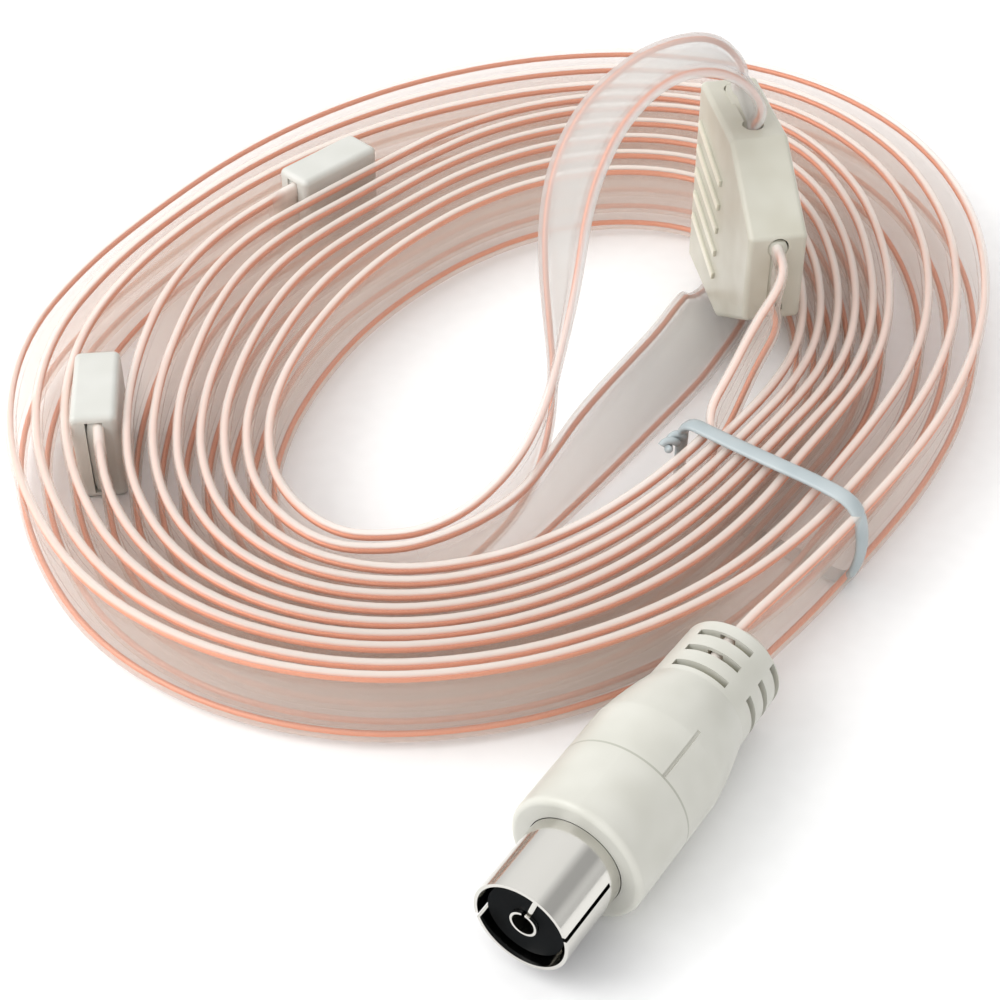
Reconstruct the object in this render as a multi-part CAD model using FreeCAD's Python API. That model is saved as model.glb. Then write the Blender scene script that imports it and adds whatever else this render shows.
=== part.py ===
import FreeCAD, Part
import math
import os
from FreeCAD import Vector, Placement, Rotation

# Sizes in millimetres, angles in degrees. X is to the right, Y away, Z up.

# Middle of the whole part in the drawing's own plan, moved to the origin on export
plan_middle = Vector(2.195, 10.11, 0)

# Flat twin-lead ribbon
ribbon_width = 10.0
ribbon_thick = 1.3
slot_clearance = 0.2
cut_overrun = 1.0
match_slack = 0.1
parallel_limit = 0.9
grip_depth = 5.0

# Wire tie round the bundle, a flat coated strip
tie_width = 1.6
tie_thick = 1.0
tie_clearance = 0.05
tie_slack = 0.45
tie_corner = 1.6
tie_start = Vector(22.0, -0.4, 0)
tie_angle = -40.0
tail_length = 5.0
tail_bite = 0.1
tail_steps = 6
tail_step_turn = 45.0

# Coil: inner oval, its swell beside the box, and the gaps between turns at twelve directions
coil_middle = Vector(3.20, 16.08, 0)
oval_long = 41.0
oval_short = 24.4
oval_tilt = 56.9
oval_power = 2.05
station_step = 30.0
station_focus = 12.0
oval_swell = [2.90, 1.00, 0, 0, 0, 0, 0, 0, 0, 0, 0, 0.60]
inner_gap = [2.12, 2.49, 4.59, 4.55, 2.95, 3.80, 3.03, 2.86, 1.99, 2.33, 1.90, 1.58]
cap_gap = [1.70, 2.84, 0.99, 0.62, 4.23, 2.36, 4.70, 2.79, 1.76, 1.72, 2.86, 1.75]
tail_gap = [3.20, 4.61, 4.12, 5.35, 4.14, 2.50, 3.70, 2.38, 1.78, 1.78, 1.78, 3.39]
arms_inner_rank = 5.5
caps_outer_rank = 8
points_per_turn = 24
turn_step = 0.001
lead_steps = 4
join_run = 4.0

# Turns of each ribbon, counted from the left side, and its place in the bundle there
arm_a_turns = (-0.16, 2.166)
arm_b_turns = (-0.16, 1.979)
feeder_turns = (-0.40, 4.59)
arm_a_rank = 0
arm_b_rank = 1
feeder_rank = 2
rank_per_turn = 3
feeder_slow_turn = 2
arm_a_drift_turn = 1.98
arm_a_drift = 1.8

# End caps on the two arms
cap_length = 13.0
cap_thick = 5.4
cap_corner = 0.8
cap_clearance = 0.35
cap_grip = 9.0

# Junction box, a trapezoid moulding standing on its arm axis
box_long = 26.0
box_arm_end = 14.5
box_depth = 25.5
box_stem_end = 11.6
box_thick = 7.2
box_corner = 0.7
box_turn = 10.0
box_foot = Vector(25.0, 45.0, 4.35)
bead_hole = 2.6
rib_width = 1.0
rib_height = 0.4
rib_pitch = 3.4
rib_count = 5
rib_length = 11.0
rib_lean = 12.0

# Coaxial plug, sizes along its axis from the mouth
plug_mouth = Vector(1.84, -67.30, 0)
plug_turn = 56.5
sleeve_radius = 5.1
sleeve_wall = 0.35
sleeve_length = 14.0
sleeve_slit = 0.5
sleeve_slit_length = 7.5
sleeve_slit_turn = -18.0
collar_start = 9.2
collar_end = 18.0
body_radius = 7.25
collar_edge = 0.7
joint_clearance = 0.05
spigot_radius = 6.1
spigot_length = 3.6
core_radius = 4.1
core_start = 0.8
flange_start = 9.5
contact_bore = 1.2
contact_wall = 0.25
contact_start = 0.4
contact_end = 16.0
contact_slit = 0.35
contact_slit_length = 8.0
shoulder_start = 24.0
shoulder_end = 31.5
shoulder_bulge = 0.6
relief_end = 40.5
relief_wall = 0.55
relief_end_wall = 0.35
relief_edge = 0.8
relief_slot = 0.9
relief_slot_half = 3.0
relief_pitch = 2.6
relief_slots = 3
relief_core = 3.6
relief_first = 32.6
ribbon_end_in_plug = 33.5
groove_width = 0.4
groove_depth = 0.25
groove_end = 25.0
groove_turns = (35.0, -70.0)

ribbon_lift = tie_thick + tie_clearance
ribbon_mid = ribbon_lift + ribbon_width / 2
ribbon_top = ribbon_lift + ribbon_width
relief_radius = ribbon_width / 2 + slot_clearance + relief_wall
relief_end_radius = ribbon_width / 2 + slot_clearance + relief_end_wall
up = Vector(0, 0, 1)


# Coil path in plan
def smooth(values, angle):
    """Mean of the station values, weighted by how near each direction is"""
    total = 0.0
    weights = 0.0
    for index, value in enumerate(values):
        away = math.radians(angle - station_step * index)
        weight = math.exp(station_focus * (math.cos(away) - 1.0))
        total += weight * value
        weights += weight
    return total / weights


def oval(angle):
    """Radius of the inner oval, a rounded ellipse, in one direction"""
    turn = math.radians(angle - oval_tilt)
    along = abs(math.cos(turn) / oval_long) ** oval_power
    across = abs(math.sin(turn) / oval_short) ** oval_power
    return (along + across) ** (-1.0 / oval_power)


def coil_radius(rank, angle):
    """Inner oval with its swell, plus the gaps of every turn that lies inside this rank"""
    arms = min(rank, arms_inner_rank)
    caps = min(max(rank - arms_inner_rank, 0), caps_outer_rank - arms_inner_rank)
    tail = max(rank - caps_outer_rank, 0)
    radius = oval(angle) + smooth(oval_swell, angle) + arms * smooth(inner_gap, angle)
    return radius + caps * smooth(cap_gap, angle) + tail * smooth(tail_gap, angle)


def coil_rank(start_rank, turn):
    """Place in the bundle: three ranks a turn, one a turn once the arms have ended"""
    if turn > feeder_slow_turn and start_rank == feeder_rank:
        return start_rank + rank_per_turn * feeder_slow_turn + turn - feeder_slow_turn
    rank = start_rank + rank_per_turn * turn
    if start_rank == arm_a_rank:
        rank += arm_a_drift * max(turn - arm_a_drift_turn, 0)
    return rank


def coil_point(start_rank, turn):
    angle = 180.0 - 360.0 * turn
    radius = coil_radius(coil_rank(start_rank, turn), angle)
    way = math.radians(angle)
    return coil_middle + Vector(radius * math.cos(way), radius * math.sin(way), ribbon_lift)


def coil_way(start_rank, turn):
    """Unit direction of travel at one place on the coil"""
    ahead = coil_point(start_rank, turn + turn_step) - coil_point(start_rank, turn - turn_step)
    return ahead.normalize()


def coil_ribbon(start_rank, turns):
    """Upright ribbon: arcs through points set off to both sides of the coil path"""
    spans = 2 * math.ceil((turns[1] - turns[0]) * points_per_turn / 2)
    left = []
    right = []
    for index in range(spans + 1):
        turn = turns[0] + (turns[1] - turns[0]) * index / spans
        side = up.cross(coil_way(start_rank, turn)) * (ribbon_thick / 2)
        left.append(coil_point(start_rank, turn) + side)
        right.append(coil_point(start_rank, turn) - side)
    right.reverse()
    edges = []
    for line in (left, right):
        for index in range(0, spans, 2):
            edges.append(Part.Arc(line[index], line[index + 1], line[index + 2]).toShape())
    edges.append(Part.makeLine(left[-1], right[0]))
    edges.append(Part.makeLine(right[-1], left[0]))
    outline = Part.Wire(Part.__sortEdges__(edges))
    return Part.Face(outline).extrude(up * ribbon_width)


# Free leads of the ribbons
def section(middle, across, way):
    """Closed rectangle of the ribbon, across its width and its thickness"""
    across = across.normalize() * (ribbon_width / 2)
    side = way.cross(across).normalize() * (ribbon_thick / 2)
    corners = [middle + across + side, middle - across + side]
    corners += [middle - across - side, middle + across - side]
    return Part.makePolygon(corners + [corners[0]])


def between(before, start, end, after, share):
    """Smooth value between two neighbours, with the slope taken from those beyond them"""
    cubic = (start - end) * 3 + after - before
    square = before * 2 - start * 5 + end * 4 - after
    return start + ((end - before) + (square + cubic * share) * share) * (share / 2)


def lead(stations, first_way, last_way):
    """Ribbon lofted through stations, each a middle and a direction across the width"""
    middles = [Vector(*middle) for middle, across in stations]
    acrosses = [Vector(*across).normalize() for middle, across in stations]
    middles = [middles[0] - first_way] + middles + [middles[-1] + last_way]
    acrosses = [acrosses[0]] + acrosses + [acrosses[-1]]
    places = []
    for index in range(1, len(middles) - 2):
        for step in range(lead_steps):
            share = step / lead_steps
            middle = between(*middles[index - 1:index + 3], share)
            places.append((middle, between(*acrosses[index - 1:index + 3], share)))
    places.append((middles[-2], acrosses[-2]))
    ways = [after[0] - before[0] for before, after in zip(places, places[2:])]
    ways = [first_way] + ways + [last_way]
    wires = [section(middle, across, way) for (middle, across), way in zip(places, ways)]
    strip = Part.makeLoft(wires, True, True)
    if strip.Volume < 0:
        strip.reverse()
    return strip


# Junction box frame: w through the thickness, v towards the stem, u up the arm axis
box_w = Vector(math.cos(math.radians(box_turn)), math.sin(math.radians(box_turn)), 0)
box_v = Vector(box_w.y, -box_w.x, 0)


def box_place(through, towards, height):
    return box_foot + box_w * through + box_v * towards + up * height


down = Vector(0, 0, -1)
arm_b_exit = box_place(box_thick / 2, box_arm_end / 2, 0)
arm_b_grip = arm_b_exit + up * grip_depth
arm_a_exit = arm_b_exit + up * box_long
arm_a_grip = arm_a_exit + down * grip_depth
feeder_exit = box_place(box_thick / 2, box_depth, box_long / 2)
feeder_grip = feeder_exit - box_v * grip_depth

# Plug frame: x along the axis from the mouth, z up
plug_place = Placement(plug_mouth + up * body_radius, Rotation(up, plug_turn))
plug_axis = plug_place.Rotation.multVec(Vector(1, 0, 0))
feeder_plug_end = plug_place.multVec(Vector(ribbon_end_in_plug, 0, 0))
feeder_plug_rear = plug_place.multVec(Vector(relief_end, 0, 0))

# Arm A rises out of the box, rolls over to the left and comes down to the front of the coil
arm_a_start = coil_point(arm_a_rank, arm_a_turns[0]) + up * (ribbon_width / 2)
arm_a_stations = [
    (arm_a_grip, box_v),
    (arm_a_exit, box_v),
    ((30.6, 37.0, 34.0), (0.2, -0.97, -0.1)),
    ((27.6, 34.9, 38.6), (0.25, -0.96, -0.1)),
    ((23.2, 33.0, 40.6), (0.2, -0.97, 0.05)),
    ((17.7, 30.6, 40.2), (0.3, -0.94, 0.12)),
    ((12.2, 27.0, 36.6), (0.48, -0.86, 0.17)),
    ((9.0, 23.0, 31.8), (0.55, -0.81, 0.22)),
    ((7.6, 19.4, 27.4), (0.54, -0.76, 0.36)),
    ((7.2, 15.5, 23.3), (0.46, -0.73, 0.5)),
    ((7.0, 11.2, 19.6), (0.3, -0.73, 0.62)),
    ((6.6, 6.0, 15.8), (0.05, -0.73, 0.68)),
    ((5.4, 0.0, 11.6), (-0.1, -0.56, 0.82)),
    ((2.6, -6.2, 8.2), (-0.12, -0.3, 0.94)),
    ((-1.8, -12.2, 6.9), (-0.08, -0.2, 0.97)),
    ((-6.4, -16.0, 6.15), (-0.02, -0.05, 1.0)),
    ((-10.8, -17.9, 6.05), up),
    (arm_a_start - coil_way(arm_a_rank, arm_a_turns[0]) * join_run, up),
    (arm_a_start, up),
]

# Arm B leaves under the box, lies back on its edge and runs to the front of the coil
arm_b_start = coil_point(arm_b_rank, arm_b_turns[0]) + up * (ribbon_width / 2)
arm_b_stations = [
    (arm_b_grip, box_v),
    (arm_b_exit, box_v),
    ((28.8, 37.2, 2.2), (0.26, -0.96, -0.04)),
    ((26.9, 33.2, 2.4), (0.44, -0.87, -0.2)),
    ((25.1, 28.8, 3.3), (0.64, -0.62, -0.45)),
    ((22.6, 23.0, 4.2), (0.7, -0.38, -0.6)),
    ((19.2, 17.0, 4.8), (0.67, -0.2, -0.71)),
    ((14.4, 9.2, 5.2), (0.56, -0.2, -0.8)),
    ((10.6, 2.6, 5.7), (0.42, -0.2, -0.88)),
    ((7.2, -3.4, 5.9), (0.25, -0.1, -0.96)),
    ((3.2, -10.2, 6.0), (0.08, -0.02, -0.99)),
    ((-1.6, -15.0, 6.05), down),
    ((-6.8, -18.4, 6.05), down),
    ((-11.6, -20.1, 6.05), down),
    (arm_b_start - coil_way(arm_b_rank, arm_b_turns[0]) * join_run, down),
    (arm_b_start, down),
]

# Feeder comes out of the stem end and down to the inner right side of the coil
feeder_start = coil_point(feeder_rank, feeder_turns[0]) + up * (ribbon_width / 2)
feeder_stations = [
    (feeder_grip, up),
    (feeder_exit, up),
    ((33.3, 15.8, 17.0), (0, -0.2, 0.98)),
    ((30.0, 11.3, 14.1), (-0.1, -0.3, 0.95)),
    ((27.4, 7.2, 10.7), (-0.1, -0.25, 0.96)),
    ((24.9, 3.5, 7.8), (-0.05, -0.1, 0.99)),
    (feeder_start, up),
]

# Far end of the feeder, from under the tie to the plug
feeder_end = coil_point(feeder_rank, feeder_turns[1]) + up * (ribbon_width / 2)
feeder_last_way = coil_way(feeder_rank, feeder_turns[1])
tail_first = Vector(34.8, -20.2, ribbon_mid)
tail_stations = [
    (feeder_end, up),
    (tail_first, up),
    ((29.4, -26.9, 6.5), up),
    (feeder_plug_rear, up),
    (feeder_plug_end, up),
]

arm_a_lead = lead(arm_a_stations, up, coil_way(arm_a_rank, arm_a_turns[0]))
arm_a_ribbon = coil_ribbon(arm_a_rank, arm_a_turns).fuse(arm_a_lead)
arm_b_lead = lead(arm_b_stations, down, coil_way(arm_b_rank, arm_b_turns[0]))
arm_b_ribbon = coil_ribbon(arm_b_rank, arm_b_turns).fuse(arm_b_lead)
feeder_lead = lead(feeder_stations, box_v, coil_way(feeder_rank, feeder_turns[0]))
feeder_tail = lead(tail_stations, feeder_last_way, plug_axis * -1)
feeder_ribbon = coil_ribbon(feeder_rank, feeder_turns).fuse([feeder_lead, feeder_tail])


# Junction box with three slots for the ribbons
def slab(frame, size):
    """Box centred on the frame's x and y, running from its origin along its z"""
    solid = Part.makeBox(size[0], size[1], size[2], Vector(-size[0] / 2, -size[1] / 2, 0))
    solid.Placement = frame
    return solid


def ribbon_slot(mouth, inward, across):
    """Slot for one ribbon end, with a round hole at each conductor"""
    frame = Placement(mouth, Rotation(across.cross(inward), across, inward, "ZXY"))
    wide = ribbon_thick + 2 * slot_clearance
    high = ribbon_width + 2 * slot_clearance
    slot = slab(frame, (wide, high, grip_depth + slot_clearance))
    for sign in (-1, 1):
        centre = mouth + across * (sign * (ribbon_width - bead_hole / 2) / 2)
        slot = slot.fuse(Part.makeCylinder(bead_hole / 2, grip_depth, centre, inward))
    return slot


stem_low = (box_long - box_stem_end) / 2
stem_high = (box_long + box_stem_end) / 2
profile = [
    box_place(0, 0, 0),
    box_place(0, box_arm_end, 0),
    box_place(0, box_depth, stem_low),
    box_place(0, box_depth, stem_high),
    box_place(0, box_arm_end, box_long),
    box_place(0, 0, box_long),
]
junction_box = Part.Face(Part.makePolygon(profile + [profile[0]])).extrude(box_w * box_thick)
junction_box = junction_box.makeFillet(box_corner, junction_box.Edges)
for mouth, inward, across in (
    (arm_a_exit, down, box_v),
    (arm_b_exit, up, box_v),
    (feeder_exit, box_v * -1, up),
):
    junction_box = junction_box.cut(ribbon_slot(mouth, inward, across))

# Plain grip ribs across the box's broad face
rib_turn = Rotation(box_w, rib_lean).multiply(Rotation(box_v, up, box_w, "ZXY"))
for index in range(rib_count):
    height = box_long / 2 + rib_pitch * (index - (rib_count - 1) / 2)
    place = box_place(-rib_height, box_arm_end / 2, height)
    rib = slab(Placement(place, rib_turn), (rib_length, rib_width, 2 * rib_height))
    junction_box = junction_box.fuse(rib)


# End caps, hollow where the ribbon end goes in
def end_cap(start_rank, turn):
    """Block with its slot along the chord of the ribbon's last stretch"""
    tip = coil_point(start_rank, turn)
    entry = turn
    while (coil_point(start_rank, entry) - tip).Length < cap_grip:
        entry -= turn_step
    way = (tip - coil_point(start_rank, entry)).normalize()
    height = ribbon_top + ribbon_lift
    back = tip + way * (cap_length - cap_grip) - up * tip.z
    front = Rotation(way * -1, up, way.cross(up), "XYZ")
    block = Part.makeBox(cap_length, height, cap_thick, Vector(0, 0, -cap_thick / 2))
    block = block.makeFillet(cap_corner, block.Edges)
    slot_length = cap_grip + cap_clearance
    slot_high = ribbon_width + 2 * slot_clearance
    slot_wide = ribbon_thick + 2 * cap_clearance
    corner = Vector(cap_length - slot_length, ribbon_lift - slot_clearance, -slot_wide / 2)
    block = block.cut(Part.makeBox(slot_length + cut_overrun, slot_high, slot_wide, corner))
    block.Placement = Placement(back, front)
    return block


end_cap_a = end_cap(arm_a_rank, arm_a_turns[1])
end_cap_b = end_cap(arm_b_rank, arm_b_turns[1])


# Coaxial plug, built along x and then laid on the floor
def tube(outer, inner, start, end):
    solid = Part.makeCylinder(outer, end - start, Vector(start, 0, 0), Vector(1, 0, 0))
    if inner:
        length = end - start
        solid = solid.cut(Part.makeCylinder(inner, length, Vector(start, 0, 0), Vector(1, 0, 0)))
    return solid


sleeve_bore = sleeve_radius - sleeve_wall
plug_sleeve = tube(sleeve_radius, sleeve_bore, 0, sleeve_length)
slit = Part.makeBox(sleeve_slit_length, 4 * sleeve_radius, sleeve_slit)
slit.translate(Vector(0, -2 * sleeve_radius, -sleeve_slit / 2))
slit.rotate(Vector(0, 0, 0), Vector(1, 0, 0), sleeve_slit_turn)
plug_sleeve = plug_sleeve.cut(slit)

contact_radius = contact_bore + contact_wall
plug_insulator = tube(core_radius, 0, core_start, sleeve_length)
flange = tube(sleeve_bore - joint_clearance, 0, flange_start, sleeve_length)
contact_hole = tube(contact_radius + joint_clearance, 0, 0, sleeve_length + cut_overrun)
plug_insulator = plug_insulator.fuse(flange).cut(contact_hole)

centre_contact = tube(contact_radius, contact_bore, contact_start, contact_end)
contact_gap = Part.makeBox(contact_slit_length, contact_slit, 2 * contact_radius)
contact_gap.translate(Vector(contact_start, -contact_slit / 2, 0))
centre_contact = centre_contact.cut(contact_gap)

plug_collar = tube(body_radius, 0, collar_start, collar_end)
front_edges = [edge for edge in plug_collar.Edges if edge.BoundBox.XMax < collar_start + match_slack]
plug_collar = plug_collar.makeFillet(collar_edge, front_edges)
spigot_start = collar_end - spigot_length
collar_bore = tube(sleeve_radius + joint_clearance, 0, 0, collar_end + cut_overrun)
spigot_hole = tube(spigot_radius + joint_clearance, 0, spigot_start - joint_clearance, collar_end)
plug_collar = plug_collar.cut(collar_bore).cut(spigot_hole)

bulge_radius = relief_radius + (body_radius - relief_radius) * shoulder_bulge
corners = [
    Vector(shoulder_end, relief_radius, 0),
    Vector(relief_end - relief_edge, relief_end_radius, 0),
    Vector(relief_end, relief_end_radius - relief_edge, 0),
    Vector(relief_end, 0, 0),
    Vector(spigot_start, 0, 0),
    Vector(spigot_start, spigot_radius, 0),
    Vector(collar_end, spigot_radius, 0),
    Vector(collar_end, body_radius, 0),
    Vector(shoulder_start, body_radius, 0),
]
bulge = Vector((shoulder_start + shoulder_end) / 2, bulge_radius, 0)
shoulder = Part.Arc(corners[-1], bulge, corners[0]).toShape()
half_profile = Part.Wire([shoulder] + Part.makePolygon(corners).Edges)
plug_body = Part.Face(half_profile).revolve(Vector(0, 0, 0), Vector(1, 0, 0), 360)

# Slots on the strain relief, above and below, then on both sides half a pitch further on
keep = tube(relief_core, 0, shoulder_end, relief_end)
for index in range(relief_slots):
    at = relief_first + relief_pitch * index
    for turn, reach in ((0, at), (90, at + relief_pitch / 2)):
        cutter = Part.makeBox(relief_slot, 2 * relief_slot_half, 4 * relief_radius)
        cutter.translate(Vector(reach - relief_slot / 2, -relief_slot_half, -2 * relief_radius))
        cutter.rotate(Vector(0, 0, 0), Vector(1, 0, 0), turn)
        plug_body = plug_body.cut(cutter.cut(keep))
plug_slot_wide = ribbon_thick + 2 * slot_clearance
plug_slot_high = ribbon_width + 2 * slot_clearance
plug_slot_long = relief_end - ribbon_end_in_plug + slot_clearance
corner = Vector(ribbon_end_in_plug - slot_clearance, -plug_slot_wide / 2, -plug_slot_high / 2)
plug_body = plug_body.cut(Part.makeBox(plug_slot_long + cut_overrun, plug_slot_wide, plug_slot_high, corner))
contact_room = tube(contact_radius + joint_clearance, 0, spigot_start, contact_end + joint_clearance)
plug_body = plug_body.cut(contact_room)

# Moulding lines along the body, one on each upper side
for turn in groove_turns:
    groove = Part.makeBox(groove_end - collar_end, groove_width, groove_depth + cut_overrun)
    groove.translate(Vector(collar_end, -groove_width / 2, body_radius - groove_depth))
    groove.rotate(Vector(0, 0, 0), Vector(1, 0, 0), turn)
    plug_body = plug_body.cut(groove)

plug_parts = [plug_sleeve, plug_insulator, centre_contact, plug_collar, plug_body]
for solid in plug_parts:
    solid.Placement = plug_place


# Wire tie, a closed loop round the bundle with its twisted ends inside the coil
tie_way = Rotation(up, tie_angle).multVec(Vector(1, 0, 0))
tie_side = up.cross(tie_way)


def tie_crossing(before, after):
    """Distance from the tie's start at which a straight run crosses the tie's plane"""
    first = (before - tie_start).dot(tie_side)
    second = (after - tie_start).dot(tie_side)
    crossing = before + (after - before) * (first / (first - second))
    return (crossing - tie_start).dot(tie_way)


def rounded_loop(start, end, bottom, top, corner_radius):
    """Rounded rectangle in the tie's plane"""
    low = tie_start + tie_way * start + up * bottom
    high = tie_start + tie_way * end + up * top
    frame = Part.makePolygon([
        low,
        low + tie_way * (end - start),
        high,
        low + up * (top - bottom),
        low,
    ])
    solid = Part.Face(frame).extrude(tie_side * tie_width)
    edges = []
    for edge in solid.Edges:
        if abs(edge.tangentAt(edge.FirstParameter).dot(tie_side)) > parallel_limit:
            edges.append(edge)
    return solid.makeFillet(corner_radius, edges)


feeder_next = coil_point(feeder_rank, feeder_turns[0] + 1.0 / points_per_turn)
tie_near = tie_crossing(feeder_start, feeder_next)
tie_far = tie_crossing(feeder_end, tail_first)
loop_start = tie_near - ribbon_thick / 2 - tie_slack
loop_end = tie_far + ribbon_thick / 2 + 2 * tie_slack
hole_top = ribbon_top + tie_clearance
outer_loop = rounded_loop(loop_start - tie_thick, loop_end + tie_thick, 0, hole_top + tie_thick, tie_corner)
inner_loop = rounded_loop(loop_start, loop_end, tie_thick, hole_top, tie_corner - tie_thick)
twist_tie = outer_loop.cut(inner_loop)
twist_tie.translate(tie_side * (-tie_width / 2))
tail_root = tie_start + tie_way * (loop_start + tail_bite - tie_thick) + up * (ribbon_top - tie_width)
wires = []
for index in range(tail_steps + 1):
    middle = tail_root - tie_side * (tail_length * index / tail_steps)
    turn = Rotation(tie_side, tail_step_turn * index)
    wide = turn.multVec(up) * (tie_width / 2)
    thin = turn.multVec(tie_way) * (tie_thick / 2)
    corners = [middle + wide + thin, middle - wide + thin, middle - wide - thin, middle + wide - thin]
    wires.append(Part.makePolygon(corners + [corners[0]]))
twist_tie = twist_tie.fuse(Part.makeLoft(wires, True, True))

# Export, one file per piece
nodes = {
    "arm_a_ribbon": arm_a_ribbon,
    "arm_b_ribbon": arm_b_ribbon,
    "feeder_ribbon": feeder_ribbon,
    "junction_box": junction_box,
    "end_cap_a": end_cap_a,
    "end_cap_b": end_cap_b,
    "plug_body": plug_body,
    "plug_collar": plug_collar,
    "plug_sleeve": plug_sleeve,
    "plug_insulator": plug_insulator,
    "centre_contact": centre_contact,
    "twist_tie": twist_tie,
}
os.makedirs("parts", exist_ok=True)
for name, shape in nodes.items():
    moved = shape.copy()
    moved.translate(plan_middle * -1)
    moved.exportStep("parts/" + name + ".step")
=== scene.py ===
import math

import bpy
import numpy as np
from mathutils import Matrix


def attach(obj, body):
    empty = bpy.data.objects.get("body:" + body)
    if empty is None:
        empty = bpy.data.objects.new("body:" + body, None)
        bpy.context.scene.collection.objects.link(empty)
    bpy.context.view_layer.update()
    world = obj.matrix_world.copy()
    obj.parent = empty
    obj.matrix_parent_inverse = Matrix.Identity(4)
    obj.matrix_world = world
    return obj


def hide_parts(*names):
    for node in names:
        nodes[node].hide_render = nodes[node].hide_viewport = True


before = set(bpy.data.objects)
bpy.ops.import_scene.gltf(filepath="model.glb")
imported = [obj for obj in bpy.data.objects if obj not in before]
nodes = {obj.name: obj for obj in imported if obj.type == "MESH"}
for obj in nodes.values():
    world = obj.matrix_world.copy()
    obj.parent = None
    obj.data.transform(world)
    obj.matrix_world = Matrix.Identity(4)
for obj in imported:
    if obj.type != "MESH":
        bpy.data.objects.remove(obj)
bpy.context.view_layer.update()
scene = bpy.context.scene
mm = 0.001

# Camera: above the front of the coil, looking down at it, with the plug nearest. The lens
# is given for a full-frame sensor, the place in metres and the tilt from straight down.
camera_data = bpy.data.cameras.new("camera")
camera_data.sensor_width = 36.0
camera_data.lens = 73.08
camera_data.clip_start = 0.005
camera = bpy.data.objects.new("camera", camera_data)
camera.location = (-0.002195, -0.19071, 0.157)
camera.rotation_euler = (math.radians(49.0), 0.0, 0.0)
scene.collection.objects.link(camera)
scene.camera = camera

# Flat twin lead: clear flexible PVC extruded round two stranded copper wires, with a bead
# at each edge and a thinner web between. The ribbons stand on edge in the coil.
plan_middle = np.array([2.195, 10.11, 0.0])
ribbon_width = 10.0
ribbon_lift = 1.05
ribbon_mid = ribbon_lift + ribbon_width / 2
bead_half = 0.65
bead_depth = 1.75
web_depth = 2.35
web_half = 0.36
strand_depth = 1.0
strand_radius = 0.35
strand_points = 10
edge_points = 11
web_points = 4
steps_per_point = 6
coil_middle = np.array([3.20, 16.08, ribbon_mid])
oval_long, oval_short, oval_tilt, oval_power = 41.0, 24.4, 56.9, 2.05
station_step, station_focus = 30.0, 12.0
oval_swell = np.array([2.90, 1.00, 0, 0, 0, 0, 0, 0, 0, 0, 0, 0.60])
inner_gap = np.array([2.12, 2.49, 4.59, 4.55, 2.95, 3.80, 3.03, 2.86, 1.99, 2.33, 1.90, 1.58])
cap_gap = np.array([1.70, 2.84, 0.99, 0.62, 4.23, 2.36, 4.70, 2.79, 1.76, 1.72, 2.86, 1.75])
tail_gap = np.array([3.20, 4.61, 4.12, 5.35, 4.14, 2.50, 3.70, 2.38, 1.78, 1.78, 1.78, 3.39])
arms_inner_rank, caps_outer_rank = 5.5, 8.0
ribbon_count = 3.0
drift_turn = 1.98
points_per_turn = 24


def smooth(values, angle):
    """Mean of the twelve station values, weighted by how near each direction is"""
    stations = np.radians(station_step * np.arange(len(values)))
    weights = np.exp(station_focus * (np.cos(angle[:, None] - stations) - 1.0))
    return weights @ values / weights.sum(axis=1)


def coil(start_rank, first_turn, last_turn, slow_turn=None, drift=0.0):
    """Route points of one ribbon in the coil: an oval that grows by the gaps inside it.
    A ribbon's rank grows by all three in a turn, and by one where it runs alone"""
    count = 2 * math.ceil((last_turn - first_turn) * points_per_turn / 2) + 1
    turn = np.linspace(first_turn, last_turn, count)
    rank = start_rank + ribbon_count * turn + drift * np.maximum(turn - drift_turn, 0.0)
    if slow_turn is not None:
        rank -= (ribbon_count - 1.0) * np.maximum(turn - slow_turn, 0.0)
    angle = math.pi - 2.0 * math.pi * turn
    lean = angle - math.radians(oval_tilt)
    along = np.abs(np.cos(lean) / oval_long) ** oval_power
    across = np.abs(np.sin(lean) / oval_short) ** oval_power
    radius = (along + across) ** (-1.0 / oval_power) + smooth(oval_swell, angle)
    radius += np.minimum(rank, arms_inner_rank) * smooth(inner_gap, angle)
    cap_rank = np.clip(rank - arms_inner_rank, 0.0, caps_outer_rank - arms_inner_rank)
    radius += cap_rank * smooth(cap_gap, angle)
    radius += np.maximum(rank - caps_outer_rank, 0.0) * smooth(tail_gap, angle)
    offset = np.stack([np.cos(angle), np.sin(angle), np.zeros(count)], axis=1)
    return coil_middle + offset * radius[:, None]


def spline_points(points, closed=False):
    """Points read from a NURBS line of order 3 that has these control points"""
    curve = bpy.data.curves.new("route", "CURVE")
    curve.dimensions = "3D"
    spline = curve.splines.new("NURBS")
    spline.points.add(len(points) - 1)
    spline.points.foreach_set("co", np.c_[points, np.ones(len(points))].ravel())
    spline.order_u = 3
    spline.use_endpoint_u = not closed
    spline.use_cyclic_u = closed
    spline.resolution_u = steps_per_point
    holder = bpy.data.objects.new("route", curve)
    mesh = bpy.data.meshes.new_from_object(holder)
    found = np.empty(3 * len(mesh.vertices))
    mesh.vertices.foreach_get("co", found)
    bpy.data.objects.remove(holder)
    bpy.data.curves.remove(curve)
    bpy.data.meshes.remove(mesh)
    return found.reshape(-1, 3)


def unit(vectors):
    """Each vector divided by its own length"""
    return vectors / np.linalg.norm(vectors, axis=-1, keepdims=True)


def tube_faces(rows, columns, first, closed=False):
    """Quads of a tube of rows rings, joined end to end if closed, or else with two caps"""
    ring = np.arange(columns)
    row = np.arange(rows if closed else rows - 1)[:, None]
    near, far = columns * row, columns * ((row + 1) % rows)
    after = (ring + 1) % columns
    quads = np.stack([near + ring, near + after, far + after, far + ring], axis=2).reshape(-1, 4)
    faces = (first + quads).tolist()
    if not closed:
        faces += [(first + ring[::-1]).tolist(), (first + columns * (rows - 1) + ring).tolist()]
    return faces


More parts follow.
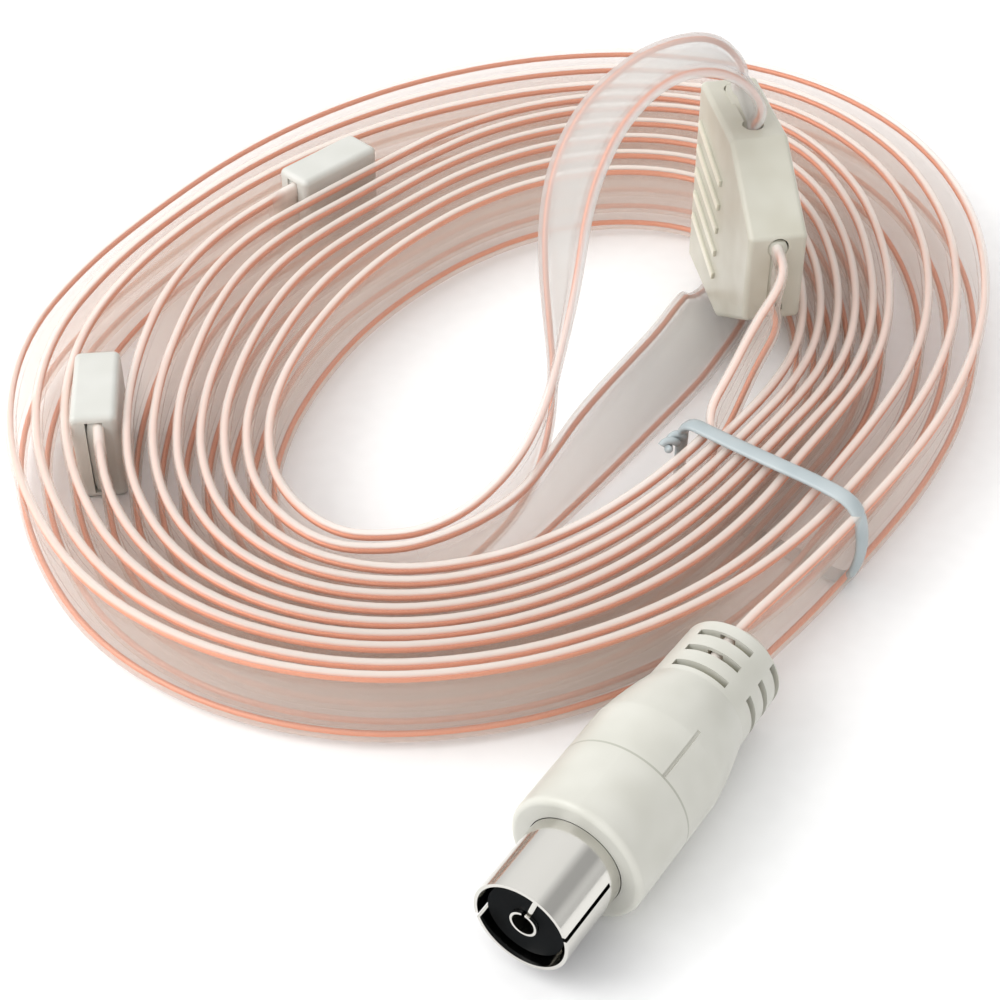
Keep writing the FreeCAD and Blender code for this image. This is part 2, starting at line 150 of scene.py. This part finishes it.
def swept(middle, across, outlines, closed=False):
    """Tubes whose outlines, across and through, are set square to a line of points"""
    if closed:
        way = unit(np.roll(middle, -1, axis=0) - np.roll(middle, 1, axis=0))
    else:
        way = unit(np.gradient(middle, axis=0))
    across = unit(across - way * np.sum(across * way, axis=1, keepdims=True))
    through = np.cross(way, across)
    length = np.r_[0.0, np.cumsum(np.linalg.norm(np.diff(middle, axis=0), axis=1))]
    points, faces, sizes, uvs = [], [], [], []
    for outline in outlines:
        rings = middle[:, None] + across[:, None] * outline[:, :1] + through[:, None] * outline[:, 1:]
        tube = tube_faces(len(middle), len(outline), sum(len(block) for block in points), closed)
        points.append(rings.reshape(-1, 3))
        faces += tube
        sizes.append(len(tube))
        place = np.empty((len(middle), len(outline), 2))
        place[..., 0] = length[:, None]
        place[..., 1] = 1.0 - np.abs(outline[:, 0]) * 2.0 / ribbon_width
        uvs.append(place.reshape(-1, 2))
    return np.concatenate(points), faces, sizes, np.concatenate(uvs)


def make_piece(name, points, faces, uvs, material_runs):
    """Smooth mesh object at the origin, in metres, with a UV map and its materials"""
    mesh = bpy.data.meshes.new(name)
    mesh.from_pydata((points * mm).tolist(), [], faces)
    layer = mesh.uv_layers.new(name="along")
    corner = np.empty(len(mesh.loops), dtype=np.int32)
    mesh.loops.foreach_get("vertex_index", corner)
    layer.data.foreach_set("uv", uvs[corner].astype(np.float32).ravel())
    index = []
    for slot, (material, count) in enumerate(material_runs):
        mesh.materials.append(material)
        index += [slot] * count
    mesh.polygons.foreach_set("material_index", np.array(index, dtype=np.int32))
    mesh.polygons.foreach_set("use_smooth", np.ones(len(index), dtype=bool))
    mesh.update()
    piece = bpy.data.objects.new(name, mesh)
    scene.collection.objects.link(piece)
    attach(piece, "root")
    return piece


def dog_bone():
    """Outline of the ribbon: a rounded flat bead at each edge, drawn in to a thin web"""
    turn = np.linspace(-math.pi / 2, math.pi / 2, edge_points)
    half = ribbon_width / 2
    edge = np.stack([half - bead_half + bead_half * np.cos(turn), bead_half * np.sin(turn)], axis=1)
    rest = np.array([[half - bead_depth, bead_half], [half - web_depth, web_half]])
    web_x = np.linspace(half - web_depth, -(half - web_depth), web_points + 2)[1:-1]
    web = np.stack([web_x, np.full(web_points, web_half)], axis=1)
    side = np.concatenate([rest, web, rest[::-1] * [-1.0, 1.0]])
    return np.concatenate([edge, side, -edge, -side])


def strand(side):
    """Outline of one copper wire in the bead on that side, a circle"""
    turn = 2.0 * math.pi * np.arange(strand_points) / strand_points
    centre = side * (ribbon_width / 2 - strand_depth)
    return strand_radius * np.stack([np.cos(turn), np.sin(turn)], axis=1) + [centre, 0.0]


def srgb(code, alpha=1.0):
    """Linear colour of an sRGB hex code, by the sRGB curve"""
    parts = [int(code[index:index + 2], 16) / 255 for index in (1, 3, 5)]
    linear = [p / 12.92 if p <= 0.04045 else ((p + 0.055) / 1.055) ** 2.4 for p in parts]
    return (*linear, alpha)


def grey(level):
    """Linear grey of one level in all three channels"""
    return (level, level, level, 1.0)


def node(material, kind, links=None, stops=(), **values):
    """Adds a shader node, sets its sockets, properties and ramp stops, and links its inputs"""
    made = material.node_tree.nodes.new(kind)
    for name, value in values.items():
        if name in made.inputs:
            made.inputs[name].default_value = value
        else:
            setattr(made, name, value)
    for index, (place, colour) in enumerate(stops):
        elements = made.color_ramp.elements
        stop = elements[index] if index < len(elements) else elements.new(place)
        stop.position, stop.color = place, colour
    for name, source in (links or {}).items():
        material.node_tree.links.new(source, made.inputs[name])
    return made


def new_material(name):
    """Empty node material and its output node"""
    material = bpy.data.materials.new(name)
    material.use_nodes = True
    material.node_tree.nodes.clear()
    return material, material.node_tree.nodes.new("ShaderNodeOutputMaterial")


# Clear PVC: glossy and a little milky. The copper shows through the beads. Where many turns lie
# together the web is painted pink, a painted tint for the copper seen through the turns, and the
# free leads stay nearly white. Every bead edge has a painted white highlight.
def pvc_stops(painted_rim_highlight, window, window_alpha, web, web_alpha):
    """Stops from the edge to the middle: painted white highlight on the rim, clear window on the
    wire, milky web
    """
    return [
        # The first two stops paint a white highlight along the rounded edge of each bead
        (0.0, srgb(painted_rim_highlight, 0.64)),
        (0.020, srgb(painted_rim_highlight, 0.54)),
        (0.06, srgb(window, window_alpha)),
        (0.27, srgb(window, window_alpha)),
        (0.37, srgb(web, web_alpha)),
        (1.0, srgb(web, web_alpha)),
    ]


clear_pvc, output = new_material("clear_pvc")
strip = node(clear_pvc, "ShaderNodeUVMap", uv_map="along")
split = node(clear_pvc, "ShaderNodeSeparateXYZ", {"Vector": strip.outputs["UV"]})
bundled = node(clear_pvc, "ShaderNodeAttribute", attribute_name="bundled")
free_stops = pvc_stops("#F2F2F0", "#E8E4E1", 0.24, "#DAD8D5", 0.48)
coil_painted_stops = pvc_stops("#FFF7EF", "#FAEDE3", 0.06, "#F3E7DE", 0.16)
free_tint = node(clear_pvc, "ShaderNodeValToRGB", {"Fac": split.outputs["Y"]}, free_stops)
coil_painted_tint = node(clear_pvc, "ShaderNodeValToRGB", {"Fac": split.outputs["Y"]}, coil_painted_stops)
# Painted tint: the bundled attribute blends the plain lead colours into the painted pink of the coil
colour_with_painted_light, milk = [
    node(
        clear_pvc,
        "ShaderNodeMixRGB",
        {
            "Fac": bundled.outputs["Fac"],
            "Color1": free_tint.outputs[channel],
            "Color2": coil_painted_tint.outputs[channel],
        },
    )
    for channel in ("Color", "Alpha")
]
held = node(clear_pvc, "ShaderNodeAttribute", attribute_name="held")
cover = node(
    clear_pvc,
    "ShaderNodeMath",
    {0: milk.outputs["Color"], 1: held.outputs["Fac"]},
    operation="MAXIMUM",
)
pvc = node(
    clear_pvc,
    "ShaderNodeBsdfPrincipled",
    {"Base Color": colour_with_painted_light.outputs["Color"], "Alpha": cover.outputs["Value"]},
    Roughness=0.16,
    IOR=1.53,
)
haze = node(clear_pvc, "ShaderNodeBsdfTranslucent", {"Color": colour_with_painted_light.outputs["Color"]})
haze_share = 0.16
body = node(
    clear_pvc,
    "ShaderNodeMixShader",
    {1: pvc.outputs["BSDF"], 2: haze.outputs["BSDF"]},
    Fac=haze_share,
)
clear_pvc.node_tree.links.new(body.outputs["Shader"], output.inputs["Surface"])

# Copper: bare stranded wire, warm and bright, with the fine twist of the strands across it.
# Its light and dark bands are painted shade between the strands, over a faint bump. The bands
# lie slantwise, one to each strand_lay along the wire, in mm. The wave texture repeats once in
# each wave_period of its own units.
strand_lay, strand_slant = 0.5236, 40.0
strand_relief = 0.05
wave_period = math.pi / 5.0
copper, output = new_material("copper_strands")
strip = node(copper, "ShaderNodeUVMap", uv_map="along")
lay = node(
    copper,
    "ShaderNodeMapping",
    {"Vector": strip.outputs["UV"]},
    Scale=(wave_period / strand_lay, strand_slant, 1.0),
)
wave = node(
    copper,
    "ShaderNodeTexWave",
    {"Vector": lay.outputs["Vector"]},
    bands_direction="DIAGONAL",
    Scale=1.0,
)
# Painted shade: each twist band runs from a darker copper in the groove to a lighter one on the crown
painted_twist_shade = node(
    copper,
    "ShaderNodeValToRGB",
    {"Fac": wave.outputs["Fac"]},
    [(0.0, srgb("#DA8766")), (1.0, srgb("#EAA384"))],
)
bump = node(
    copper,
    "ShaderNodeBump",
    {"Height": wave.outputs["Fac"]},
    Strength=0.1,
    Distance=strand_relief * mm,
)
wire = node(
    copper,
    "ShaderNodeBsdfPrincipled",
    {"Base Color": painted_twist_shade.outputs["Color"], "Normal": bump.outputs["Normal"]},
    Roughness=0.4,
    Metallic=0.35,
)
copper.node_tree.links.new(wire.outputs["BSDF"], output.inputs["Surface"])

# Ribbons: one mesh each, of PVC and two wires. Over blend_run a free lead takes on the painted
# pink tint and clearness of the bundle, up to blend_ahead of the coil. Within held_run of an end,
# or cap_held of one in a cap, a ribbon is nearly opaque, and that fades out over held_fade.
blend_run, blend_ahead = 45.0, 10.0
held_run, held_fade, held_most = 8.0, 3.0, 0.92
cap_held = 14.0


def ribbon(name, lead, coil_route, tail=(), far_held=held_run):
    """Ribbon piece along the route, the line that it follows in metres, and its width's way"""
    route = lead + coil_route + list(tail)
    middles = np.array([middle for middle, across in route], dtype=float) - plan_middle
    acrosses = unit(np.array([across for middle, across in route], dtype=float))
    line = spline_points(middles)
    across = spline_points(middles + acrosses * (ribbon_width / 2)) - line
    points, faces, sizes, uvs = swept(line, across, [dog_bone(), strand(-1.0), strand(1.0)])
    runs = [(clear_pvc, sizes[0]), (copper, sizes[1] + sizes[2])]
    piece = make_piece(name, points, faces, uvs, runs)
    first_coil = np.argmin(np.linalg.norm(line - middles[len(lead)], axis=1))
    lead_length = uvs[first_coil * len(dog_bone()), 0]
    blend_start = lead_length - blend_ahead - blend_run
    packed = np.clip((uvs[:, 0] - blend_start) / blend_run, 0.0, 1.0)
    inside = np.maximum(held_run - uvs[:, 0], uvs[:, 0] - uvs[:, 0].max() + far_held)
    held = held_most * np.clip(inside / held_fade, 0.0, 1.0)
    # bundled sets how much of the coil's painted pink tint each point takes
    for title, values in (("bundled", packed), ("held", held)):
        layer = piece.data.attributes.new(title, "FLOAT", "POINT")
        layer.data.foreach_set("value", values.astype(np.float32))
    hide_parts(name.replace("_twin_lead", "_ribbon"))
    return piece, line * mm, across


up = (0.0, 0.0, 1.0)
down = (0.0, 0.0, -1.0)
box_stem_way = (0.17365, -0.98481, 0.0)

# Arm A: one half of the dipole, clear twin lead moulded into the top of the box. It rolls
# over to the left, comes down to the front and joins the coil, and a cap closes its end.
arm_a_lead = [
    ((29.80, 38.49, 25.35), box_stem_way),
    ((29.80, 38.49, 30.35), box_stem_way),
    ((30.6, 37.0, 34.0), (0.2, -0.97, -0.1)),
    ((27.6, 34.9, 38.6), (0.25, -0.96, -0.1)),
    ((23.2, 33.0, 40.6), (0.2, -0.97, 0.05)),
    ((17.7, 30.6, 40.2), (0.3, -0.94, 0.12)),
    ((12.2, 27.0, 36.6), (0.48, -0.86, 0.17)),
    ((9.0, 23.0, 31.8), (0.55, -0.81, 0.22)),
    ((7.6, 19.4, 27.4), (0.54, -0.76, 0.36)),
    ((7.2, 15.5, 23.3), (0.46, -0.73, 0.5)),
    ((7.0, 11.2, 19.6), (0.3, -0.73, 0.62)),
    ((6.6, 6.0, 15.8), (0.05, -0.73, 0.68)),
    ((5.4, 0.0, 11.6), (-0.1, -0.56, 0.82)),
    ((2.6, -6.2, 8.2), (-0.12, -0.3, 0.94)),
    ((-1.8, -12.2, 6.9), (-0.08, -0.2, 0.97)),
    ((-6.4, -16.0, 6.15), (-0.02, -0.05, 1.0)),
    ((-10.8, -17.9, 6.05), up),
]
arm_a_coil = [(point, up) for point in coil(0, -0.16, 2.166, drift=1.8)]
arm_a, arm_a_line, arm_a_across = ribbon(
    "arm_a_twin_lead", arm_a_lead, arm_a_coil, far_held=cap_held
)

# Arm B: the other half of the dipole, clear twin lead moulded into the foot of the box. It
# lies back on its edge, runs to the front and joins the coil, and a cap closes its end.
arm_b_lead = [
    ((29.80, 38.49, 9.35), box_stem_way),
    ((29.80, 38.49, 4.35), box_stem_way),
    ((28.8, 37.2, 2.2), (0.26, -0.96, -0.04)),
    ((26.9, 33.2, 2.4), (0.44, -0.87, -0.2)),
    ((25.1, 28.8, 3.3), (0.64, -0.62, -0.45)),
    ((22.6, 23.0, 4.2), (0.7, -0.38, -0.6)),
    ((19.2, 17.0, 4.8), (0.67, -0.2, -0.71)),
    ((14.4, 9.2, 5.2), (0.56, -0.2, -0.8)),
    ((10.6, 2.6, 5.7), (0.42, -0.2, -0.88)),
    ((7.2, -3.4, 5.9), (0.25, -0.1, -0.96)),
    ((3.2, -10.2, 6.0), (0.08, -0.02, -0.99)),
    ((-1.6, -15.0, 6.05), down),
    ((-6.8, -18.4, 6.05), down),
    ((-11.6, -20.1, 6.05), down),
]
arm_b_coil = [(point, down) for point in coil(1, -0.16, 1.979)]
arm_b, arm_b_line, arm_b_across = ribbon(
    "arm_b_twin_lead", arm_b_lead, arm_b_coil, far_held=cap_held
)

# Feeder: the lead to the receiver, clear twin lead moulded into the stem end of the box. It
# goes round the coil and under the tie, and the plug's strain relief grips its far end.
feeder_lead = [
    ((32.11, 25.44, 17.35), up),
    ((32.97, 20.51, 17.35), up),
    ((33.3, 15.8, 17.0), (0.0, -0.2, 0.98)),
    ((30.0, 11.3, 14.1), (-0.1, -0.3, 0.95)),
    ((27.4, 7.2, 10.7), (-0.1, -0.25, 0.96)),
    ((24.9, 3.5, 7.8), (-0.05, -0.1, 0.99)),
]
feeder_coil = [(point, up) for point in coil(2, -0.40, 4.59, slow_turn=2)]
feeder_tail = [
    ((34.8, -20.2, 6.05), up),
    ((29.4, -26.9, 6.5), up),
    ((24.19, -33.53, 7.25), up),
    ((20.33, -39.37, 7.25), up),
]
feeder, feeder_line, feeder_across = ribbon(
    "feeder_twin_lead", feeder_lead, feeder_coil, feeder_tail
)


# Junction box: one ivory moulding round the joints of the three ribbons, with grip ribs whose tops
# carry a painted highlight.
# Moulded plastic has two close tones in slow clouds and a very fine orange peel, whose sizes
# are in mm.
cloud_size, peel_size, peel_relief = 4.545, 0.4167, 0.05
noise_low, noise_high = 0.3, 0.7


def moulded(name, light, dark, roughness, shine=0.5):
    """Moulded plastic: cloud noise between two tones, and a fine noise as bump"""
    material, output = new_material(name)
    place = node(material, "ShaderNodeTexCoord").outputs["Object"]
    cloud_scale, peel_scale = 1.0 / (cloud_size * mm), 1.0 / (peel_size * mm)
    cloud = node(material, "ShaderNodeTexNoise", {"Vector": place}, Scale=cloud_scale, Detail=1.0)
    tones = [(noise_low, srgb(dark)), (noise_high, srgb(light))]
    tone = node(material, "ShaderNodeValToRGB", {"Fac": cloud.outputs["Fac"]}, tones)
    peel = node(material, "ShaderNodeTexNoise", {"Vector": place}, Scale=peel_scale, Detail=0.0)
    bump = node(
        material,
        "ShaderNodeBump",
        {"Height": peel.outputs["Fac"]},
        Strength=0.08,
        Distance=peel_relief * mm,
    )
    shell = node(
        material,
        "ShaderNodeBsdfPrincipled",
        {"Base Color": tone.outputs["Color"], "Normal": bump.outputs["Normal"]},
        Roughness=roughness,
        IOR=1.49,
        **{"Specular IOR Level": shine},
    )
    material.node_tree.links.new(shell.outputs["BSDF"], output.inputs["Surface"])
    return material, place, tone.outputs["Color"], shell


def dress(name, material):
    """Gives a CAD node its material in every slot"""
    mesh = nodes[name].data
    mesh.materials.clear()
    mesh.materials.append(material)


rib_height = 0.4
box_foot = np.array([25.0, 45.0, 4.35])
box_turn = math.radians(10.0)
box_face = np.array([math.cos(box_turn), math.sin(box_turn), 0.0]) @ (box_foot - plan_middle)
ivory, place, tone, shell = moulded("ivory_plastic", "#CBC9BC", "#C2BFB0", 0.32)
proud = node(
    ivory,
    "ShaderNodeMapping",
    {"Vector": place},
    Scale=(1.0 / (rib_height * mm),) * 3,
    Rotation=(0.0, 0.0, math.pi - box_turn),
    Location=(box_face / rib_height, 0.0, 0.0),
)
height = node(ivory, "ShaderNodeSeparateXYZ", {"Vector": proud.outputs["Vector"]})
# Painted highlight: the ivory turns lighter with height above the box face, so the rib tops stand out
rib_light_start, rib_light_full = 0.25, 0.9
rib_top_light = node(
    ivory,
    "ShaderNodeValToRGB",
    {"Fac": height.outputs["X"]},
    [(rib_light_start, grey(0.0)), (rib_light_full, grey(1.0))],
)
rib_top_lit = node(
    ivory,
    "ShaderNodeMixRGB",
    {"Fac": rib_top_light.outputs["Color"], "Color1": tone},
    Color2=srgb("#E6E3D2"),
)
ivory.node_tree.links.new(rib_top_lit.outputs["Color"], shell.inputs["Base Color"])
dress("junction_box", ivory)
fill_width, fill_thick = 10.5, 2.8
fill_points, fill_steps = 24, 8
fill_power = 5.0
box_span, cap_span = (1.0, 4.8), (-8.7, -1.0)


def filling(name, line, across, span, material):
    """Superellipse block round a ribbon that shuts its slot, between two lengths along the
    ribbon, which count back from its far end where they are below zero"""
    first, last = span
    line = line / mm
    length = np.r_[0.0, np.cumsum(np.linalg.norm(np.diff(line, axis=0), axis=1))]
    if last < 0.0:
        first, last = first + length[-1], last + length[-1]
    stops = np.linspace(first, last, fill_steps)
    middle = np.stack([np.interp(stops, length, line[:, axis]) for axis in range(3)], axis=1)
    side = np.stack([np.interp(stops, length, across[:, axis]) for axis in range(3)], axis=1)
    turn = 2.0 * math.pi * np.arange(fill_points) / fill_points
    ring = np.stack([np.cos(turn), np.sin(turn)], axis=1)
    ring = np.sign(ring) * np.abs(ring) ** (2.0 / fill_power) * [fill_width / 2, fill_thick / 2]
    points, faces, sizes, uvs = swept(middle, side, [ring])
    block = make_piece(name, points, faces, uvs, [(material, sizes[0])])


filling("box_filling_a", arm_a_line, arm_a_across, box_span, ivory)
filling("box_filling_b", arm_b_line, arm_b_across, box_span, ivory)
filling("box_filling_feeder", feeder_line, feeder_across, box_span, ivory)

# End caps: small white mouldings pushed over the cut ends of the two arms, each with a slot
# for the ribbon. The plastic is a cooler white than the box and a little less glossy.
white = moulded("white_plastic", "#D3D3CD", "#CCCCC5", 0.35)[0]
dress("end_cap_a", white)
dress("end_cap_b", white)
filling("cap_filling_a", arm_a_line, arm_a_across, cap_span, white)
filling("cap_filling_b", arm_b_line, arm_b_across, cap_span, white)

# Plug: an ivory body with a slotted strain relief, pushed into an ivory collar, and a black
# core. Deep in the slots, near the axis, the ivory is painted darker and yellower, a painted
# shade, and a fine line marks the joint.
plug_turn = math.radians(56.5)
plug_mouth = np.array([1.84, -67.30, 7.25]) - plan_middle
plug_way = np.array([math.cos(plug_turn), math.sin(plug_turn), 0.0])
plug_left = np.array([-math.sin(plug_turn), math.cos(plug_turn), 0.0])
slot_floor, slot_top = 3.6, 4.9
collar_end, seam_half = 18.0, 0.12
plug_origin = np.array([plug_way @ plug_mouth, plug_left @ plug_mouth, plug_mouth[2]])
plug_ivory, place, tone, shell = moulded("plug_ivory", "#D2D1C8", "#C9C8BE", 0.3)
turned = node(
    plug_ivory,
    "ShaderNodeMapping",
    {"Vector": place},
    Scale=(1.0 / (slot_top * mm),) * 3,
    Rotation=(0.0, 0.0, -plug_turn),
    Location=tuple(-plug_origin / slot_top),
)
point = {0: turned.outputs["Vector"]}
flat = node(plug_ivory, "ShaderNodeVectorMath", point, operation="MULTIPLY")
flat.inputs[1].default_value = (0.0, 1.0, 1.0)
radius = node(plug_ivory, "ShaderNodeVectorMath", {0: flat.outputs["Vector"]}, operation="LENGTH")
# Painted shade: within slot_floor of the axis the ivory is the full dark olive, fading out by
# slot_top
painted_slot_shade = node(
    plug_ivory,
    "ShaderNodeValToRGB",
    {"Fac": radius.outputs["Value"]},
    [(slot_floor / slot_top, grey(1.0)), (1.0, grey(0.0))],
)
shaded = node(
    plug_ivory,
    "ShaderNodeMixRGB",
    {"Fac": painted_slot_shade.outputs["Color"], "Color1": tone},
    Color2=srgb("#BDB780"),
)
along = node(plug_ivory, "ShaderNodeSeparateXYZ", {"Vector": turned.outputs["Vector"]})
seam = node(plug_ivory, "ShaderNodeMath", {0: along.outputs["X"]}, operation="COMPARE")
seam.inputs[1].default_value = collar_end / slot_top
seam.inputs[2].default_value = seam_half / slot_top
lined = node(
    plug_ivory,
    "ShaderNodeMixRGB",
    {"Fac": seam.outputs["Value"], "Color1": shaded.outputs["Color"]},
    Color2=srgb("#B2B2A6"),
)
plug_ivory.node_tree.links.new(lined.outputs["Color"], shell.inputs["Base Color"])
dress("plug_body", plug_ivory)
dress("plug_collar", plug_ivory)
black = moulded("black_plastic", "#0A0D0F", "#040506", 0.5, shine=0.04)[0]
dress("plug_insulator", black)

# Plug contacts: a slotted outer sleeve and a rolled centre tube, both nickel-plated metal.
# The plate is bright, with faint marks of about mark_size, in mm, that vary its gloss.
mark_size = 1.111
mark_scale = 1.0 / (mark_size * mm)
nickel, output = new_material("nickel_plate")
place = node(nickel, "ShaderNodeTexCoord").outputs["Object"]
marks = node(nickel, "ShaderNodeTexNoise", {"Vector": place}, Scale=mark_scale, Detail=1.0)
gloss = [(noise_low, grey(0.10)), (noise_high, grey(0.16))]
rough = node(nickel, "ShaderNodeValToRGB", {"Fac": marks.outputs["Fac"]}, gloss)
plate = node(
    nickel,
    "ShaderNodeBsdfPrincipled",
    {"Roughness": rough.outputs["Color"]},
    **{"Base Color": srgb("#D8D6D0"), "Metallic": 1.0},
)
nickel.node_tree.links.new(plate.outputs["BSDF"], output.inputs["Surface"])
dress("plug_sleeve", nickel)
dress("centre_contact", nickel)

# Contact tab: a thin strip of the same nickel-plated metal on the face of the core, running
# outwards from the centre contact to the sleeve.
tab_width, tab_thick, tab_lean = 0.55, 0.2, math.radians(18.0)
tab_out, tab_in, tab_depth = 4.7, 1.45, 0.65
tab_points, tab_steps = 16, 6
tab_way = np.array([0.0, 0.0, 1.0]) * math.cos(tab_lean) - plug_left * math.sin(tab_lean)
tab_side = np.cross(plug_way, tab_way)
tab_turn = 2.0 * math.pi * np.arange(tab_points) / tab_points
tab_outline = np.stack([np.cos(tab_turn) * tab_width / 2, np.sin(tab_turn) * tab_thick / 2], axis=1)
tab_reach = np.linspace(tab_in, tab_out, tab_steps)
tab_line = plug_mouth + plug_way * tab_depth + tab_way * tab_reach[:, None]
tab = swept(tab_line, np.broadcast_to(tab_side, tab_line.shape), [tab_outline])
contact_tab = make_piece("contact_tab", tab[0], tab[1], tab[3], [(nickel, tab[2][0])])

# Wire tie: a soft wire in a pale PVC coat, bent round the bundle by hand, with its two
# ends twisted together inside the coil
tie_width, tie_thick = 2.1, 0.96
tie_points = 20
tie_start = np.array([22.0, -0.4, 0.0]) - plan_middle
tie_way = np.array([0.76604, -0.64279, 0.0])
tie_side = np.array([0.64279, 0.76604, 0.0])
tie_loop = np.array([
    (3.0, 0.52), (17.0, 0.52), (22.0, 0.55), (23.3, 4.5), (23.2, 8.5), (21.8, 12.0), (17.5, 12.4),
    (10.0, 12.0), (3.0, 11.8), (-1.2, 11.8), (-1.4, 8.0), (-1.4, 4.0), (-1.2, 0.52),
])
twist_turns, twist_length, twist_radius = 1.0, 3.2, 0.46
twist_along, twist_height = -1.5, 9.6
twist_steps = 36


def tie_place(along, height):
    """Point in the upright plane of the tie"""
    return tie_start + tie_way * along[:, None] + np.array(up) * height[:, None]


turn = 2.0 * math.pi * np.arange(tie_points) / tie_points
strip_outline = np.stack([np.cos(turn) * tie_width / 2, np.sin(turn) * tie_thick / 2], axis=1)
loop_line = spline_points(tie_place(tie_loop[:, 0], tie_loop[:, 1]), closed=True)
loop = swept(loop_line, np.broadcast_to(tie_side, loop_line.shape), [strip_outline], closed=True)
coating = moulded("tie_coating", "#B6BFC1", "#A4AFB2", 0.26)[0]
tie = make_piece("wire_tie", loop[0], loop[1], loop[3], [(coating, loop[2][0])])
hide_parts("twist_tie")
share = np.linspace(0.0, 1.0, twist_steps)
root = tie_start + tie_way * twist_along + np.array(up) * twist_height
end_outline = twist_radius * np.stack([np.cos(turn), np.sin(turn)], axis=1)
for letter, phase in (("a", 0.0), ("b", math.pi)):
    angle = 2.0 * math.pi * twist_turns * share + phase
    radial = tie_way * np.cos(angle)[:, None] + np.array(up) * np.sin(angle)[:, None]
    line = root - tie_side * (twist_length * share)[:, None] + radial * twist_radius
    end = swept(line, radial, [end_outline])
    twist = make_piece("tie_end_" + letter, end[0], end[1], end[3], [(coating, end[2][0])])

# Floor: plain white card under the part, matt, with a faint grain of grain_size in mm. It
# reaches floor_half metres to each side, which fills the main view.
floor_half, grain_size = 3.0, 2.0
grain_scale = 1.0 / (grain_size * mm)
floor_mesh = bpy.data.meshes.new("floor")
floor_corners = [
    (x * floor_half, y * floor_half, 0.0) for x, y in [(-1, -1), (1, -1), (1, 1), (-1, 1)]
]
floor_mesh.from_pydata(floor_corners, [], [(0, 1, 2, 3)])
floor = bpy.data.objects.new("floor", floor_mesh)
scene.collection.objects.link(floor)
card, output = new_material("white_card")
place = node(card, "ShaderNodeTexCoord").outputs["Object"]
grain = node(card, "ShaderNodeTexNoise", {"Vector": place}, Scale=grain_scale, Detail=0.0)
whites = [(noise_low, srgb("#FAFAFA")), (noise_high, srgb("#FCFCFC"))]
paper = node(card, "ShaderNodeValToRGB", {"Fac": grain.outputs["Fac"]}, whites)
sheet = node(card, "ShaderNodeBsdfDiffuse", {"Color": paper.outputs["Color"]})
card.node_tree.links.new(sheet.outputs["BSDF"], output.inputs["Surface"])
floor_mesh.materials.append(card)

# Light: a bright white ceiling over darker walls, with the right-hand wall darkest, which
# gives the sleeve its contrast, and two large soft boxes on the left.
world_strength = 1.1
world = bpy.data.worlds.new("studio")
world.use_nodes = True
background = world.node_tree.nodes["Background"]
way_in = node(world, "ShaderNodeTexCoord")
height = node(world, "ShaderNodeSeparateXYZ", {"Vector": way_in.outputs["Generated"]})
room = node(world, "ShaderNodeValToRGB", {"Fac": height.outputs["Z"]}, [
    (0.0, grey(0.75)),
    (0.12, grey(0.80)),
    (0.36, grey(0.95)),
    (1.0, grey(1.0)),
])
side = node(world, "ShaderNodeValToRGB", {"Fac": height.outputs["X"]}, [
    (0.0, grey(1.0)),
    (0.45, grey(0.95)),
    (0.68, grey(0.46)),
    (0.88, grey(0.46)),
    (0.97, grey(0.80)),
])
studio = node(
    world,
    "ShaderNodeMixRGB",
    {"Color1": room.outputs["Color"], "Color2": side.outputs["Color"]},
    blend_type="MULTIPLY",
    Fac=1.0,
)
world.node_tree.links.new(studio.outputs["Color"], background.inputs["Color"])
background.inputs["Strength"].default_value = world_strength
scene.world = world
box_size = 0.5


def soft_box(name, place, power):
    """Square area light at a place, tilted and turned by two arctangents to face the origin"""
    light = bpy.data.lights.new(name, "AREA")
    light.size = box_size
    light.energy = power
    lamp = bpy.data.objects.new(name, light)
    away = -np.array(place)
    tilt = math.pi / 2 + math.atan2(away[2], math.hypot(away[0], away[1]))
    lamp.location = place
    lamp.rotation_euler = (tilt, 0.0, math.atan2(-away[0], away[1]))
    scene.collection.objects.link(lamp)


soft_box("key", (-0.55, -0.1, 0.5), 2.6)
soft_box("fill", (-0.45, -0.6, 0.55), 0.7)

# Picture: plain sRGB, and bounce limits that let light through the clear turns of the coil
scene.view_settings.view_transform = "Standard"
scene.view_settings.look = "None"
scene.cycles.transparent_max_bounces = 12
scene.cycles.max_bounces = 5
scene.cycles.diffuse_bounces = 4
scene.cycles.caustics_reflective = False
